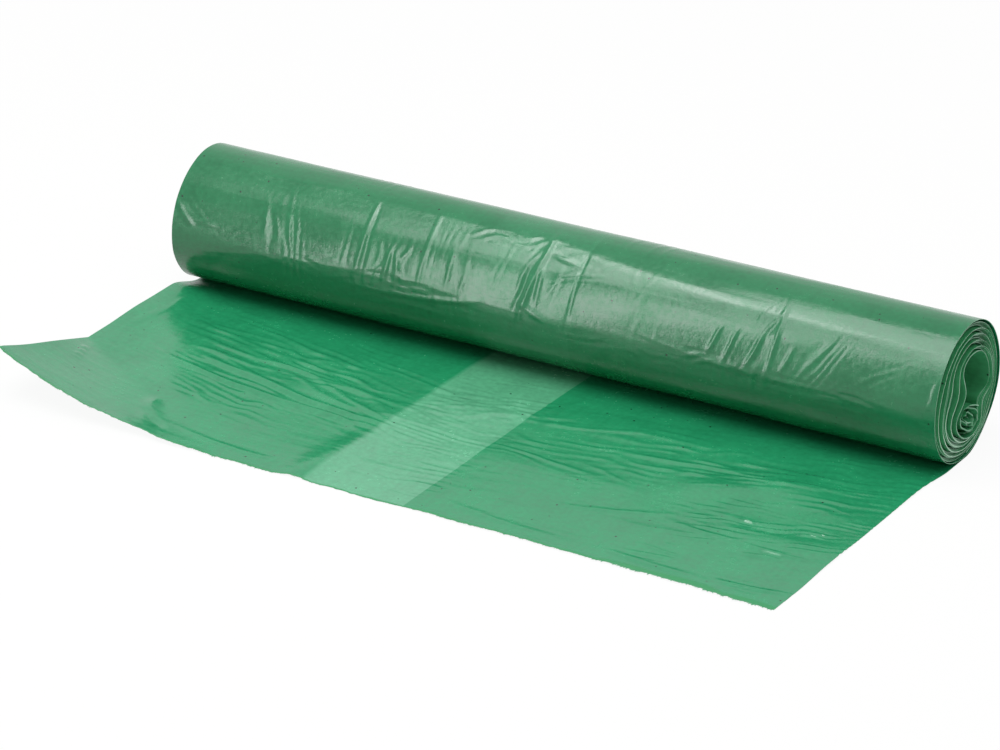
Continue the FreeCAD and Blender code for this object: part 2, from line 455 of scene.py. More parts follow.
# Sizes of the film's unevenness: slow clouds, fine blotches, streaks along the web and pulls across it
CLOUD_SIZE = 35 * MM
BLOTCH_SIZE = 2.8 * MM
STREAK_SIZE = (4 * MM, 50 * MM, 50 * MM)
PULL_SIZE = (45 * MM, 6 * MM, 6 * MM)

# Height and strength of the bumps that the grain, the blotches and the pulls give
GRAIN_BUMP = (0.03 * MM, 1.0)
BLOTCH_BUMP = (0.055 * MM, 1.0)
PULL_BUMP = (0.35 * MM, 0.6)

# Dark specks of other plastic: size of their cells as a share of the larger, radius, and the share of cells
# that is left without
SPECKS = ((1, 0.75 * MM, 0.3), (0.7, 0.45 * MM, 0.5))

# Soft left edge of the band and how far it wanders, and half the width of its sharper right edge
BAND_FADE = 3 * MM
BAND_WANDER = 1.6 * MM
BAND_WANDER_SIZE = 20 * MM
BAND_EDGE = 0.3 * MM

EDGE_PATCH_SIZE = 4 * MM
EDGE_BUMP = (0.1 * MM, 0.3)
EDGE_ROUGHNESS = 0.42

# Gloss: the film's refraction, its reflection as a level on the loose sheet and on the wound film, how far the
# roughness falls and rises in the patches, and what the torn edge adds to it
FILM_IOR = 1.51
LOOSE_SHEEN = 0.72
WOUND_SHEEN = 0.6
ROUGHNESS_FALL = 0.06
ROUGHNESS_RISE = 0.09
TORN_ROUGHNESS = 0.25

# Tones of the mottled film, and how much of the thin band still shows where many films are wound
DARKEST_TONE = 0.86
PALEST_TONE = 1.14
WOUND_BAND = 0.08


def new_material(name):
    """A new material and its empty node tree."""
    material = bpy.data.materials.new(name)
    material.use_nodes = True
    material.node_tree.nodes.clear()
    return material, material.node_tree


def band_mask(tree, place):
    """1 on the band between the folded sides, else 0, softer at its left edge than at its right one."""
    web = bpy.context.scene.bag_web
    left = LOW.x + web.left_fold
    right = left + web.band
    across = add(tree, "ShaderNodeSeparateXYZ", {0: place}).outputs["X"]
    uneven = add(tree, "ShaderNodeTexNoise", {"Vector": place, "Scale": 1 / BAND_WANDER_SIZE, "Detail": 1.0})
    shifted = add(tree, "ShaderNodeMath", {0: uneven.outputs["Fac"], 1: BAND_WANDER, 2: across},
                  operation="MULTIPLY_ADD")
    begin = add(tree, "ShaderNodeMapRange",
                {"Value": shifted, "From Min": left, "From Max": left + BAND_FADE})
    end = add(tree, "ShaderNodeMapRange",
              {"Value": across, "From Min": right - BAND_EDGE, "From Max": right + BAND_EDGE,
               "To Min": 1.0, "To Max": 0.0})
    return add(tree, "ShaderNodeMath", {0: begin, 1: end}, operation="MULTIPLY")


def mottling(tree, place):
    """Where the film is thicker or thinner: its patches, the finest of them alone, and the tone they give."""
    clouds = add(tree, "ShaderNodeTexNoise", {"Vector": place, "Scale": 1 / CLOUD_SIZE, "Detail": 2.0})
    blotches = add(tree, "ShaderNodeTexNoise", {"Vector": place, "Scale": 1 / BLOTCH_SIZE, "Detail": 2.0})
    drawn = add(tree, "ShaderNodeMapping", {"Vector": place, "Scale": [1 / size for size in STREAK_SIZE]})
    streaks = add(tree, "ShaderNodeTexNoise", {"Vector": drawn, "Scale": 1.0, "Detail": 2.0})
    patchy = add(tree, "ShaderNodeMath", {0: clouds.outputs["Fac"], 1: blotches.outputs["Fac"]},
                 operation="ADD")
    uneven = add(tree, "ShaderNodeMath", {0: streaks.outputs["Fac"], 1: 0.35, 2: patchy},
                 operation="MULTIPLY_ADD")
    tone = add(tree, "ShaderNodeMapRange",
               {"Value": uneven, "From Min": 0.8, "From Max": 1.55,
                "To Min": DARKEST_TONE, "To Max": PALEST_TONE})
    return patchy, blotches.outputs["Fac"], tone


def speck_mask(tree, place, largest_cell):
    """1 on the dark specks, else 0."""
    marks = []
    for share, radius, left_out in SPECKS:
        spacing = largest_cell * share
        cells = add(tree, "ShaderNodeTexVoronoi", {"Vector": place, "Scale": 1 / spacing, "Randomness": 1.0})
        near = add(tree, "ShaderNodeMapRange",
                   {"Value": cells.outputs["Distance"], "From Min": radius / spacing * 0.6,
                    "From Max": radius / spacing, "To Min": 1.0, "To Max": 0.0})
        chance = add(tree, "ShaderNodeSeparateColor", {0: cells.outputs["Color"]})
        chosen = add(tree, "ShaderNodeMath", {0: chance, 1: left_out}, operation="GREATER_THAN")
        marks.append(add(tree, "ShaderNodeMath", {0: near, 1: chosen}, operation="MULTIPLY"))
    return add(tree, "ShaderNodeMath", {0: marks[0], 1: marks[1]}, operation="MAXIMUM")


def uneven_normal(tree, place, blotches, grain_size):
    """The film's finest unevenness, as bumps on top of each other.

    The real grain is too fine to show, so it is drawn as coarse as it needs to.
    """
    grain = add(tree, "ShaderNodeTexNoise", {"Vector": place, "Scale": 1 / grain_size, "Detail": 1.0})
    drawn = add(tree, "ShaderNodeMapping", {"Vector": place, "Scale": [1 / size for size in PULL_SIZE]})
    pulls = add(tree, "ShaderNodeTexNoise", {"Vector": drawn, "Scale": 1.0, "Detail": 1.0})
    heights = (grain.outputs["Fac"], GRAIN_BUMP), (blotches, BLOTCH_BUMP), (pulls.outputs["Fac"], PULL_BUMP)
    below = {}
    for height, (distance, strength) in heights:
        bump = add(tree, "ShaderNodeBump",
                   {"Height": height, "Strength": strength, "Distance": distance, **below})
        below = {"Normal": bump}
    return below["Normal"]


def film_material(name, plain, band_share, sheen):
    """Low-density polyethylene, blown and folded, partly recycled: glossy, a little milky, with dark specks.

    The gloss shows lamps as broad soft streaks, because the film is never quite even. It is duller in the
    patches, and matt where the film was stretched and torn.
    """
    look = bpy.context.scene.bag_film
    material, tree = new_material(name)
    place = add(tree, "ShaderNodeTexCoord").outputs["Object"]
    patchy, blotches, tone = mottling(tree, place)
    banded = add(tree, "ShaderNodeMath", {0: band_mask(tree, place), 1: band_share}, operation="MULTIPLY")
    body = add(tree, "ShaderNodeMix",
               {"Factor": banded, "A": (*plain, 1), "B": (*look.thin, 1)}, data_type="RGBA")
    toned = add(tree, "ShaderNodeVectorMath", {0: body.outputs["Result"], "Scale": tone}, operation="SCALE")
    specks = speck_mask(tree, place, look.speck_cell)
    marked = add(tree, "ShaderNodeMix", {"Factor": specks, "A": toned, "B": (*look.speck, 1)},
                 data_type="RGBA")
    torn = add(tree, "ShaderNodeAttribute", attribute_name="torn").outputs["Fac"]
    final = add(tree, "ShaderNodeMix",
                {"Factor": torn, "A": marked.outputs["Result"], "B": (*look.torn, 1)}, data_type="RGBA")
    rough = add(tree, "ShaderNodeMapRange",
                {"Value": patchy, "From Min": 0.7, "From Max": 1.3,
                 "To Min": look.roughness - ROUGHNESS_FALL, "To Max": look.roughness + ROUGHNESS_RISE})
    matter = add(tree, "ShaderNodeMath", {0: torn, 1: TORN_ROUGHNESS, 2: rough}, operation="MULTIPLY_ADD")
    shader = add(tree, "ShaderNodeBsdfPrincipled",
                 {"Base Color": final.outputs["Result"], "Roughness": matter, "IOR": FILM_IOR,
                  "Specular IOR Level": sheen, "Normal": uneven_normal(tree, place, blotches, look.grain)})
    add(tree, "ShaderNodeOutputMaterial", {"Surface": shader})
    return material


def edge_material(name, low, high):
    """The same film at its edges, where light scatters, so that it is matter, and paler where it was cut.

    Where the attribute rim is set, on each bundle's outermost turn, the edges get a painted highlight.
    """
    material, tree = new_material(name)
    place = add(tree, "ShaderNodeTexCoord").outputs["Object"]
    patches = add(tree, "ShaderNodeTexNoise", {"Vector": place, "Scale": 1 / EDGE_PATCH_SIZE, "Detail": 3.0})
    # Painted highlight: rim is 1 on the outermost turn of each bundle, and paints its cut edges pale
    rim = add(tree, "ShaderNodeAttribute", attribute_name="rim").outputs["Fac"]
    pale = add(tree, "ShaderNodeMath", {0: patches.outputs["Fac"], 1: 0.6, 2: rim},
               operation="MULTIPLY_ADD", use_clamp=True)
    tone = add(tree, "ShaderNodeMix", {"Factor": pale, "A": (*low, 1), "B": (*high, 1)}, data_type="RGBA")
    distance, strength = EDGE_BUMP
    bump = add(tree, "ShaderNodeBump",
               {"Height": patches.outputs["Fac"], "Strength": strength, "Distance": distance})
    shader = add(tree, "ShaderNodeBsdfPrincipled",
                 {"Base Color": tone.outputs["Result"], "Roughness": EDGE_ROUGHNESS, "IOR": FILM_IOR,
                  "Normal": bump})
    add(tree, "ShaderNodeOutputMaterial", {"Surface": shader})
    return material


FILM_NAMES = {
    "flat": "Polyethylene_film_flat",
    "wound": "Polyethylene_film_wound",
    "inner": "Polyethylene_film_inside_painted_paler",
    "cut": "Polyethylene_cut_edge",
    "torn": "Polyethylene_torn_edge",
}


def film_materials():
    """The film and its edges, made once."""
    if bpy.data.materials.get(FILM_NAMES["flat"]) is None:
        look = bpy.context.scene.bag_film
        film_material(FILM_NAMES["flat"], look.body, 1.0, LOOSE_SHEEN)
        film_material(FILM_NAMES["wound"], look.wound, WOUND_BAND, WOUND_SHEEN)
        # The inside film is painted paler: painted light for the light that comes through the turns
        film_material(FILM_NAMES["inner"], look.inner, 0.0, WOUND_SHEEN)
        edge_material(FILM_NAMES["cut"], look.fold, look.cut)
        edge_material(FILM_NAMES["torn"], look.torn, look.fold)
    return {key: bpy.data.materials[name] for key, name in FILM_NAMES.items()}


def corner_height(web, x, forward):
    """How high the bent front corner stands, as on a cone whose tip lies on the left edge."""
    forward = np.maximum(forward, 1e-9)
    slant = (x - LOW.x) / forward * web.corner_back / web.corner_across
    return web.corner_lift * forward / web.corner_back * np.maximum(1 - slant, 0) ** FADE_OF_BEND


# How the drawn-out end lies: how slack, how high it swells along its left edge, how far its left and right
# edges are drawn in, and how far they wander
SLACK = 0.5 * MM
LEFT_SWELL = 3.6 * MM
LEFT_DRAWN_IN = 2.4 * MM
RIGHT_DRAWN_IN = 2 * MM
EDGE_WANDER = 0.5 * MM

# How deep its front is torn: in fine teeth, in broad ones and at the right, and how far back that reaches
FINE_TEETH = 0.45 * MM
BROAD_TEETH = 0.9 * MM
RIGHT_TEAR = 1.6 * MM
TORN_REACH = 6 * MM


def flat_sheet(web, x, y):
    """Where the underside of the drawn-out end lies, for places on the web laid out flat."""
    front = -web.drawn_out
    tip = front + web.corner_back
    forward = np.maximum(tip - y, 0)
    height = corner_height(web, x, forward)
    place_y = np.where(forward > 0, tip - np.sqrt(np.maximum(forward ** 2 - height ** 2, 0)), y)

    # Ripples and slack, which start clear of the roll, and a swell along the left edge behind the corner
    clear = ramp(y, -14 * MM, -38 * MM)
    waves = relief(x, y, FLAT_RIPPLES, FLAT_SWELLS + FLAT_CREASES, BROAD_CRESTS)
    slack = SLACK * (1 + soft_noise(x / (50 * MM), y / (30 * MM), 3))
    swell = ramp(x, LOW.x + 38 * MM, LOW.x) * ramp(y, -12 * MM, -35 * MM)
    swell *= 1 - 0.5 * ramp(y, -64 * MM, -100 * MM)
    height = height + clear * (waves + slack) + LEFT_SWELL * swell * ramp(y, -190 * MM, -116 * MM)

    # Both side edges are drawn in a little, and wander
    skew = ramp(x, LOW.x + 60 * MM, LOW.x) * ramp(y, -12 * MM, -34 * MM)
    place_x = x - LEFT_DRAWN_IN * skew * ramp(y, -150 * MM, -110 * MM)
    place_x -= RIGHT_DRAWN_IN * ramp(x, HIGH.x - 60 * MM, HIGH.x) * ramp(y, -20 * MM, -50 * MM)
    wander = soft_noise(y / (30 * MM), np.sign(x), 5) * ramp(np.abs(x), HIGH.x - 40 * MM, HIGH.x)
    place_x += EDGE_WANDER * wander

    # The teeth of the torn front edge
    torn = FINE_TEETH * soft_noise(x / (1.6 * MM), 0 * x, 7)
    torn += BROAD_TEETH * soft_noise(x / (12 * MM), 0 * x, 8)
    torn -= RIGHT_TEAR * ramp(x, 100 * MM, 220 * MM)
    place_y = place_y + torn * ramp(y, front + TORN_REACH, front)
    return place_x, place_y, np.maximum(height, 0)


class DrawnOutEnd(bpy.types.Operator):
    """The end of the first bag, which lies on the floor in front of the roll with one corner curled up"""

    bl_idname = "bag_roll.drawn_out_end"
    bl_label = "Drawn-out end"

    def execute(self, context):
        web = context.scene.bag_web
        back = float(web.radius * math.cos(start_angle(web)))
        front = -web.drawn_out
        rows = np.concatenate([
            np.linspace(front, front + TORN_REACH, 13, False),
            np.linspace(front + TORN_REACH, back, 200),
        ])
        x, y = np.meshgrid(np.linspace(LOW.x, HIGH.x, 213), rows, indexing="ij")
        place_x, place_y, height = flat_sheet(web, x, y)
        left = LOW.x + web.left_fold
        right = left + web.band
        two_films = ramp(x, left - 0.5 * MM, left + 1 * MM) * ramp(x, right + 1 * MM, right)
        thickness = web.film * (4 - 2 * two_films)
        under = np.stack([place_x, place_y, height], -1)
        over = np.stack([place_x, place_y, height + thickness], -1)

        # The strip of stretched film behind the teeth, deeper at the left end and at the right
        reach = MM * (1.3 + 1.2 * ramp(x, -190 * MM, -240 * MM) + 2.6 * ramp(x, 100 * MM, 190 * MM))
        reach *= 1 + 0.45 * soft_noise(x / (11 * MM), 0 * x, 9)
        torn = 1 - ramp((y - front) / reach, 0.6, 1.1)
        materials = film_materials()
        piece = film_shell("drawn_out_end", under, over, (materials["flat"], materials["cut"]), torn)
        seat(piece)
        return {"FINISHED"}


class OutermostTurn(bpy.types.Operator):
    """The outermost turn of the roll, from the floor up the back, over the top and down the front"""

    bl_idname = "bag_roll.outermost_turn"
    bl_label = "Outermost turn"

    def execute(self, context):
        web = context.scene.bag_web
        # The rows lie closer together on the front, where most of the wrinkles are
        rows = np.concatenate([
            np.linspace(0, 0.53, 33, False),
            np.linspace(0.53, 0.79, 52, False),
            np.linspace(0.79, 1.12, 27),
        ])
        x, turns = np.meshgrid(np.linspace(LOW.x, HIGH.x, 404), rows, indexing="ij")
        angle = start_angle(web) + 2 * math.pi * turns
        share = web.outer_room / (web.radius - web.core_radius) * turns
        y, z = wound_point(web, angle, share)
        along_y, along_z = np.gradient(y, axis=1), np.gradient(z, axis=1)
        size = np.hypot(along_y, along_z)
        out_y, out_z = along_z / size, -along_y / size
        way_up = (math.pi - angle) * web.radius
        free = ramp(turns, 0.03, 0.12) * ramp(turns, 0.98, 0.9)
        waves = relief(x, way_up, WOUND_RIPPLES, WOUND_SWELLS + WOUND_CREASES, SHARP_CRESTS)
        swell = 0.35 * MM * soft_noise(x / (90 * MM), way_up / (22 * MM), 51)
        swell += 0.2 * MM * soft_noise(x / (50 * MM), way_up / (12 * MM), 52)
        stand = free * (waves + swell - 0.1 * MM)
        end = ramp(np.abs(x), HIGH.x - 15 * MM, HIGH.x)
        x = x + np.sign(x) * end * EDGE_WANDER * soft_noise(turns * 9, np.sign(x), 53)
        half = 2 * web.film
        outer = np.stack([x, y + out_y * (stand + half), z + out_z * (stand + half)], -1)
        inner = np.stack([x, y + out_y * (stand - half), z + out_z * (stand - half)], -1)
        materials = film_materials()
        piece = film_shell("outermost_turn", inner, outer, (materials["wound"], materials["cut"]))
        seat(piece)
        return {"FINISHED"}


# A bundle of turns, as shares of its way in: how much of it the turns fill evenly, and where the gap that
# ends it opens
EVEN_FILL = 0.66
GAP_OPENS = 0.78

# How a turn puffs up: the share of the room to the next one that it fills, and the least and the most, the
# latter in films
ROOM_FILLED = 0.93
THINNEST_TURN = 0.08 * MM
MOST_FILMS = 9


def wound_line(web, steps):
    """The line that the inner turns follow, with values for each of its points.

    They say how thick the turn puffs up, how far it stands back at the ends of the roll and how pale its rim
    is painted: a painted highlight on the cut edges of each bundle's outermost turn.
    """
    turned = np.linspace(0, web.turns, web.turns * steps)
    bundle, within = np.divmod(turned * web.bundles / web.turns, 1)
    gap = ramp(within, GAP_OPENS, 1)
    way_in = (bundle + EVEN_FILL * within + (1 - EVEN_FILL) * gap) / web.bundles
    first = web.outer_room / (web.radius - web.core_radius)
    share = first + (1 - first) * way_in + 0.1 * first
    angle = start_angle(web) + 2 * math.pi * turned
    y, z = wound_point(web, angle, np.minimum(share, 1))
    room = np.hypot(y[steps:] - y[:-steps], z[steps:] - z[:-steps])
    room = np.concatenate([room, room[-steps:]])
    slow = soft_noise(turned * 0.8, 0 * turned, 62)
    layers = {
        "thickness": np.clip(ROOM_FILLED * room, THINNEST_TURN, MOST_FILMS * web.film),
        "recess": np.clip(0.12 + within * ramp(within, 1, 0.8) + 0.14 * slow, 0, 1.2),
        # Painted highlight: the cut edges of each bundle's outermost turn are painted pale
        "rim": ramp(within, 0.17, 0.08),
    }
    return y, z, layers


def new_tree(name, sockets, result):
    """A node tree that makes one geometry, and its named inputs."""
    tree = bpy.data.node_groups.new(name, "GeometryNodeTree")
    for label, kind, default in sockets:
        socket = tree.interface.new_socket(name=label, in_out="INPUT", socket_type="NodeSocket" + kind)
        if default is not None:
            socket.default_value = default
    tree.interface.new_socket(name=result, in_out="OUTPUT", socket_type="NodeSocketGeometry")
    return tree, add(tree, "NodeGroupInput").outputs


def spread_across(tree, width):
    """The side, the share of the way out and the place of each line along the web, closer at its edges."""
    own_place = add(tree, "GeometryNodeInputPosition")
    grid_x = add(tree, "ShaderNodeSeparateXYZ", {0: own_place})
    side = add(tree, "ShaderNodeMath", {0: grid_x}, operation="SIGN")
    aside = add(tree, "ShaderNodeMath", {0: grid_x}, operation="ABSOLUTE")
    out = add(tree, "ShaderNodeMath", {0: aside, 1: 2.0}, operation="MULTIPLY")
    inside = add(tree, "ShaderNodeMath", {0: 1.0, 1: out}, operation="SUBTRACT")
    gathered = add(tree, "ShaderNodeMath", {0: inside, 1: 2.6}, operation="POWER")
    spread = add(tree, "ShaderNodeMath", {0: 1.0, 1: gathered}, operation="SUBTRACT")
    half = add(tree, "ShaderNodeMath", {0: width, 1: 0.5}, operation="MULTIPLY")
    reach = add(tree, "ShaderNodeMath", {0: spread, 1: half}, operation="MULTIPLY")
    place = add(tree, "ShaderNodeMath", {0: reach, 1: side}, operation="MULTIPLY")
    return side, out, place


def wound_turns_tree(material, cut_material):
    """Lays a sheet of film along the line of the turns, shifts and ruffles its ends and makes it thick."""
    tree, given = new_tree("Wound turns", (
        ("Line", "Geometry", None),
        ("Width", "Float", HIGH.x - LOW.x),
        ("Lines across", "Int", 12),
        ("Telescoping", "Float", 4.2 * MM),
        ("Ruffle", "Float", 0.5 * MM),
        ("Seed", "Float", 4.0),
    ), "Film")
    count = add(tree, "GeometryNodeAttributeDomainSize", {"Geometry": given["Line"]}, component="MESH")
    grid = add(tree, "GeometryNodeMeshGrid",
               {"Size X": 1.0, "Size Y": 1.0, "Vertices X": given["Lines across"],
                "Vertices Y": count.outputs["Point Count"]})
    index = add(tree, "GeometryNodeInputIndex")
    along = add(tree, "ShaderNodeMath", {0: index, 1: count.outputs["Point Count"]}, operation="MODULO")
    line_place = add(tree, "GeometryNodeInputPosition")
    point = add(tree, "GeometryNodeSampleIndex",
                {"Geometry": given["Line"], "Value": line_place, "Index": along}, data_type="FLOAT_VECTOR")
    layers = {}
    for name in ("thickness", "recess", "rim"):
        stored = add(tree, "GeometryNodeInputNamedAttribute", {"Name": name}, data_type="FLOAT")
        layers[name] = add(tree, "GeometryNodeSampleIndex",
                           {"Geometry": given["Line"], "Value": stored, "Index": along}, data_type="FLOAT")

    # The turns stand back from the ends of the roll by different amounts, and the web's edges are ruffled
    side, out, plain_x = spread_across(tree, given["Width"])
    back = add(tree, "ShaderNodeMath", {0: layers["recess"], 1: given["Telescoping"]}, operation="MULTIPLY")
    sided = add(tree, "ShaderNodeMath", {0: back, 1: side}, operation="MULTIPLY")
    place_x = add(tree, "ShaderNodeMath", {0: plain_x, 1: sided}, operation="SUBTRACT")
    aside = add(tree, "ShaderNodeCombineXYZ", {"X": place_x})
    lifted = add(tree, "ShaderNodeVectorMath", {0: point, 1: aside}, operation="ADD")
    ruffling = add(tree, "ShaderNodeTexNoise",
                   {"Vector": lifted, "W": given["Seed"], "Scale": 1 / (7 * MM), "Detail": 1.0},
                   noise_dimensions="4D").outputs["Color"]
    centred = add(tree, "ShaderNodeVectorMath", {0: ruffling, 1: (0.5, 0.5, 0.5)}, operation="SUBTRACT")
    at_edge = add(tree, "ShaderNodeMath", {0: out, 1: 6.0}, operation="POWER")
    strength = add(tree, "ShaderNodeMath", {0: at_edge, 1: given["Ruffle"]}, operation="MULTIPLY")
    ruffle = add(tree, "ShaderNodeVectorMath", {0: centred, "Scale": strength}, operation="SCALE")
    place = add(tree, "ShaderNodeVectorMath", {0: lifted, 1: ruffle}, operation="ADD")
    laid = add(tree, "GeometryNodeSetPosition", {"Geometry": grid.outputs["Mesh"], "Position": place})
    # The rim values go with the sheet, for the painted highlight on the cut edges
    rimmed = add(tree, "GeometryNodeStoreNamedAttribute",
                 {"Geometry": laid, "Name": "rim", "Value": layers["rim"]}, data_type="FLOAT", domain="POINT")

    # The sheet is grown outwards to its thickness, and closed with a turned copy of itself
    filmed = add(tree, "GeometryNodeSetMaterial", {"Geometry": rimmed, "Material": material})
    grown = add(tree, "GeometryNodeExtrudeMesh",
                {"Mesh": filmed, "Offset Scale": layers["thickness"], "Individual": False}, mode="FACES")
    edged = add(tree, "GeometryNodeSetMaterial",
                {"Geometry": grown.outputs["Mesh"], "Selection": grown.outputs["Side"],
                 "Material": cut_material})
    flipped = add(tree, "GeometryNodeFlipFaces", {"Mesh": filmed})
    joined = add(tree, "GeometryNodeJoinGeometry")
    tree.links.new(edged.outputs[0], joined.inputs[0])
    tree.links.new(flipped.outputs[0], joined.inputs[0])
    closed = add(tree, "GeometryNodeMergeByDistance", {"Geometry": joined, "Distance": 0.002 * MM})
    real = add(tree, "GeometryNodeRealizeInstances", {"Geometry": closed})
    add(tree, "NodeGroupOutput", {"Film": real})
    return tree


def path_mesh(name, x, y, z, layers):
    """A line of points with named values stored on each."""
    mesh = bpy.data.meshes.new(name)
    mesh.from_pydata(np.stack([x, y, z], -1).tolist(), [(n, n + 1) for n in range(len(x) - 1)], [])
    for layer, values in layers.items():
        mesh.attributes.new(layer, "FLOAT", "POINT").data.foreach_set("value", values.astype(np.float32))
    return mesh


def grown_from(name, start, tree, inputs):
    """The plain mesh that a node tree makes from a starting mesh."""
    source = in_scene(name + "_line", start)
    modifier = source.modifiers.new(name, "NODES")
    modifier.node_group = tree
    for socket in tree.interface.items_tree:
        if socket.item_type == "SOCKET" and socket.in_out == "INPUT" and socket.name in inputs:
            modifier[socket.identifier] = inputs[socket.name]
    source.update_tag()
    made = bpy.data.meshes.new_from_object(source.evaluated_get(bpy.context.evaluated_depsgraph_get()))
    source.modifiers.remove(modifier)
    bpy.data.objects.remove(source)
    return made


class WoundTurns(bpy.types.Operator):
    """The many thin turns inside the outermost one, down to the core that has caved in"""

    bl_idname = "bag_roll.wound_turns"
    bl_label = "Wound turns"

    def execute(self, context):
        web = context.scene.bag_web
        y, z, layers = wound_line(web, 72)
        line = path_mesh("turn_line", np.zeros_like(y), y, z, layers)
        materials = film_materials()
        tree = wound_turns_tree(materials["inner"], materials["cut"])
        mesh = grown_from("wound_turns", line, tree, {"Width": web.width})
        seat(finished("wound_turns", mesh))
        return {"FINISHED"}


# The curled beginning of the web: middle, slope in degrees, turns, and its films, which puff up as one
CURL_MIDDLE = (9.5 * MM, 18.5 * MM)
CURL_SLOPE = -20
CURL_TURNS = 3.3
CURL_FILMS = 11


def curled_line(web):
    """The web's beginning, curled up and crumpled in the lower lobe of the core."""
    share = np.linspace(0, 1, 260)
    turned = 2 * math.pi * CURL_TURNS * share - 0.5 * math.pi
    size = (1 - 0.8 * share) * (1 + 0.10 * soft_noise(share * 26, 0 * share, 61))
    across = web.curl_length * size * np.cos(turned)
    up = web.curl_height * size * np.sin(turned)
    slope = math.radians(CURL_SLOPE)
    y = CURL_MIDDLE[0] + across * math.cos(slope) - up * math.sin(slope)
    z = CURL_MIDDLE[1] + across * math.sin(slope) + up * math.cos(slope)
    return y, z


class WebBeginning(bpy.types.Operator):
    """The crumpled beginning of the web, inside the caved-in core"""

    bl_idname = "bag_roll.web_beginning"
    bl_label = "Web beginning"

    def execute(self, context):
        web = context.scene.bag_web
        y, z = curled_line(web)
        crumple = soft_noise(np.linspace(0, 30, len(y)), 0 * y, 63)
        layers = {
            "thickness": np.full_like(y, CURL_FILMS * web.film),
            "recess": 0.6 + 0.5 * crumple,
            "rim": 0 * y,
        }
        line = path_mesh("curl_line", np.zeros_like(y), y, z, layers)
        materials = film_materials()
        tree = wound_turns_tree(materials["inner"], materials["cut"])
        inputs = {"Width": web.width, "Lines across": 40, "Ruffle": 2.4 * MM, "Telescoping": 5 * MM}
        mesh = grown_from("web_beginning", line, tree, inputs)
        seat(finished("web_beginning", mesh))
        return {"FINISHED"}


def torn_edge_tree(material):
    """Sets small shreds of film along the torn perforation, longer where the film is more frayed."""
    tree, given = new_tree("Torn edge", (
        ("Line", "Geometry", None),
        ("Shred length", "Float", 1.5 * MM),
        ("Shred width", "Float", 1.1 * MM),
        ("Film", "Float", 0.2 * MM),
        ("Seed", "Int", 5),
    ), "Shreds")
    shred = add(tree, "GeometryNodeMeshCone",
                {"Vertices": 5, "Radius Top": 0.12, "Radius Bottom": 0.5, "Depth": 1.0}, fill_type="NGON")
    fray = add(tree, "GeometryNodeInputNamedAttribute", {"Name": "fray"}, data_type="FLOAT")
    chance = add(tree, "FunctionNodeRandomValue", {"Min": 0.25, "Max": 1.0, "Seed": given["Seed"]},
                 data_type="FLOAT").outputs["Value"]
    drawn = add(tree, "ShaderNodeMath", {0: chance, 1: fray}, operation="MULTIPLY")
    wide = add(tree, "ShaderNodeMath", {0: drawn, 1: given["Shred width"]}, operation="MULTIPLY")
    long = add(tree, "ShaderNodeMath", {0: drawn, 1: given["Shred length"]}, operation="MULTIPLY")
    size = add(tree, "ShaderNodeCombineXYZ", {"X": wide, "Y": given["Film"], "Z": long})
    lean = add(tree, "FunctionNodeRandomValue",
               {"Min": (math.pi / 2 - 0.2, 0.0, -0.7), "Max": (math.pi / 2 + 0.1, 0.0, 0.7),
                "Seed": given["Seed"]}, data_type="FLOAT_VECTOR")
    turn = add(tree, "FunctionNodeEulerToRotation", {0: lean.outputs["Value"]})
    placed = add(tree, "GeometryNodeInstanceOnPoints",
                 {"Points": given["Line"], "Instance": shred.outputs["Mesh"], "Rotation": turn,
                  "Scale": size})
    real = add(tree, "GeometryNodeRealizeInstances", {"Geometry": placed})
    filmed = add(tree, "GeometryNodeSetMaterial", {"Geometry": real, "Material": material})
    add(tree, "NodeGroupOutput", {"Shreds": filmed})
    return tree


SHRED_SPACING = 0.8 * MM


class TornEdge(bpy.types.Operator):
    """The shreds along the perforation that the end was torn at"""

    bl_idname = "bag_roll.torn_edge"
    bl_label = "Torn edge"

    def execute(self, context):
        web = context.scene.bag_web
        x = np.arange(LOW.x + 0.6 * MM, HIGH.x, SHRED_SPACING)
        place_x, place_y, height = flat_sheet(web, x, np.full_like(x, -web.drawn_out))
        fray = 0.55 + 0.3 * soft_noise(x / (20 * MM), 0 * x, 71) + 0.6 * ramp(x, 60 * MM, 200 * MM)
        line = path_mesh("torn_line", place_x, place_y, height + 2 * web.film, {"fray": fray})
        mesh = grown_from("torn_edge", line, torn_edge_tree(film_materials()["torn"]), {})
        seat(finished("torn_edge", mesh))
        return {"FINISHED"}


# The camera's place and direction, found from the roll's ends and the corners of the drawn-out end
CAMERA_PLACE = (1.17239, -1.99550, 1.03780)
CAMERA_AZIMUTH = 31.395
CAMERA_ELEVATION = 24.331
CAMERA_LENS = 165.98

TOP_LAMP_PLACE = (-0.16, -0.35, 1.35)
TOP_LAMP_SIZE = (1.2, 1.0)

# Two panels that only gloss shows, as a photographer's reflectors do: name, place, size, the direction of
# its second size, and how bright it is
GLOSS_PANELS = (
    ("front_panel", (-0.61, -1.06, 0.62), (0.26, 1.30), (0, 0, 1), 4.9),
    ("upper_panel", (-0.55, -0.19, 1.33), (0.17, 0.78), (0.26, -0.89, -0.06), 5.0),
)

FLOOR_REACH = 6.0
MIDDLE_HEIGHT = 30 * MM


